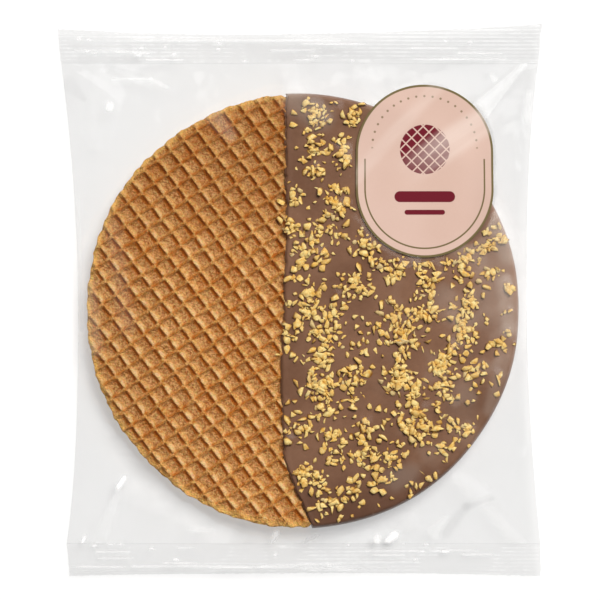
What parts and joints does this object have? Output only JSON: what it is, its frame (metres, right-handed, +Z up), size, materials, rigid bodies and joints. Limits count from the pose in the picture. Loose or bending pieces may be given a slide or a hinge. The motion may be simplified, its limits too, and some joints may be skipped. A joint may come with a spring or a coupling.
{
  "type": "stroopwafel in a clear sealed bag",
  "caption": "Large round syrup waffle, half coated in milk chocolate and chopped nuts, sealed in a clear crimped bag with a plain sticker.",
  "frame": {"origin": "on the surface that the pack lies on, below the middle of the bag's bounding box", "axes": "+X across the bag towards the chocolate half, +Y towards the upper end seal, +Z up out of the surface"},
  "size_m": [0.1692, 0.193, 0.0119],
  "materials": {
    "film": "clear glossy packaging film, crimped at both end seals",
    "label": "dusty pink satin sticker with olive print",
    "wafer": "baked waffle, golden brown, fine crumb",
    "syrup": "dark caramel syrup",
    "chocolate": "milk chocolate, satin",
    "nuts": "chopped roasted nuts, golden yellow"
  },
  "bodies": {
    "root": {"bag": "film", "label": "label"}
  },
  "joints": []
}
